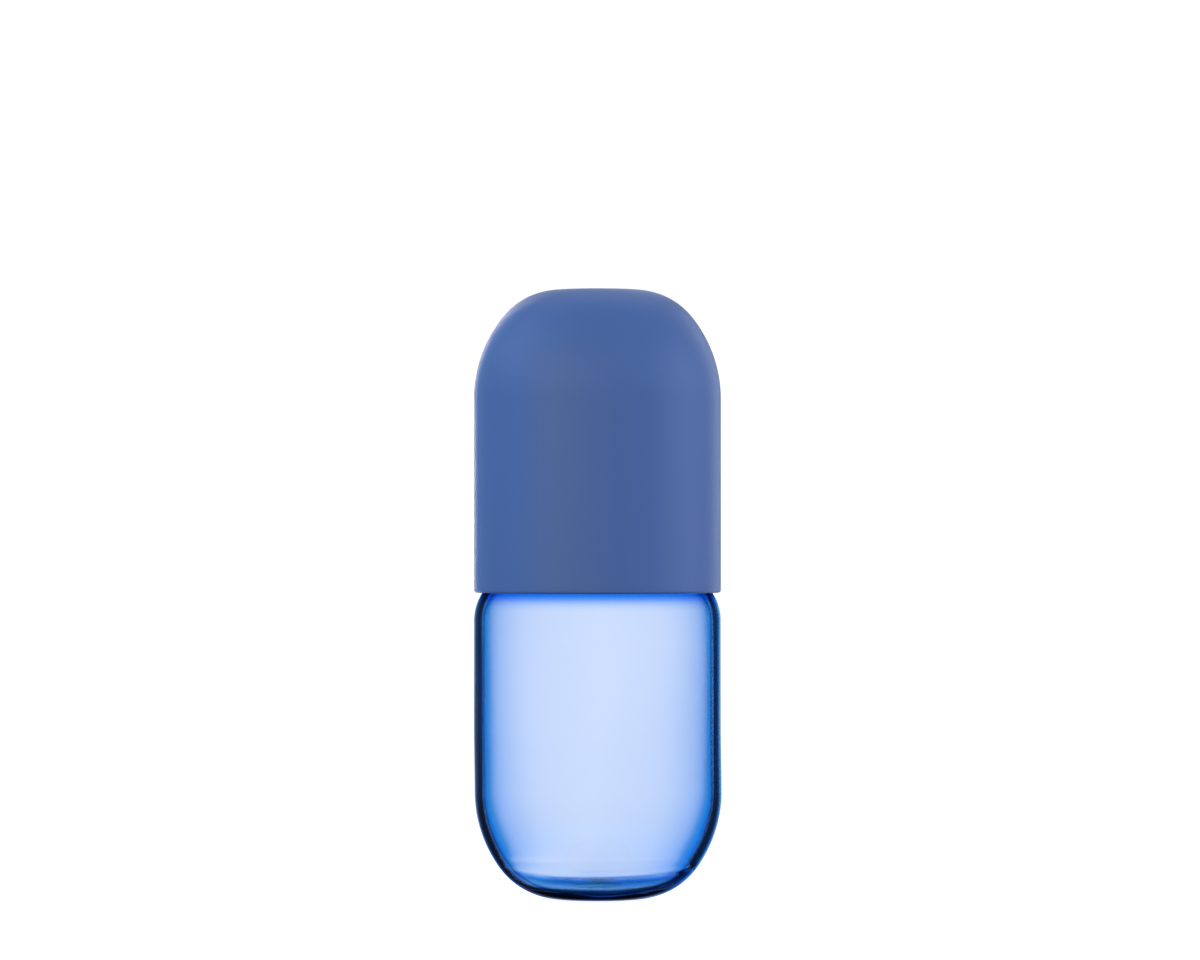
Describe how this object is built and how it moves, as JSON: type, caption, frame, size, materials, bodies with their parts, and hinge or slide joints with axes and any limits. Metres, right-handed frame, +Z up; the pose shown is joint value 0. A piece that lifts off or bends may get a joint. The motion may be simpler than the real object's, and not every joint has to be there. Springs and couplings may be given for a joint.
{
  "type": "capsule bottle",
  "caption": "Capsule-shaped bottle: a clear blue glass lower half with a push-in stopper in its neck, under a tall matte blue cap that lifts off the upper half.",
  "frame": {"origin": "centre of the glass foot's resting ring", "axes": "+Z up along the bottle's axis of turning; X and Y are alike"},
  "size_m": [0.084, 0.084, 0.207],
  "materials": {
    "blue_glass": "polished, transparent blue",
    "collar_plastic": "fine satin",
    "silicone": "smooth, translucent",
    "cap_plastic": "soft matte",
    "grip_plastic": "soft matte",
    "steel": "bright stainless"
  },
  "bodies": {
    "bottle": {"glass_bottle": "blue_glass", "neck_collar": "collar_plastic", "collar_ring": "silicone"},
    "cap": {"outer_cap": "cap_plastic"},
    "stopper": {"stopper_grip": "grip_plastic", "stopper_seal": "silicone", "stopper_base": "grip_plastic", "stopper_screw": "steel"}
  },
  "joints": [
    {"name": "cap_lift", "type": "slide", "parent": "bottle", "child": "cap", "axis": [0, 0, 1], "range_m": [0, 0.095]},
    {"name": "stopper_lift", "type": "slide", "parent": "bottle", "child": "stopper", "axis": [0, 0, 1], "range_m": [0, 0.028]}
  ]
}
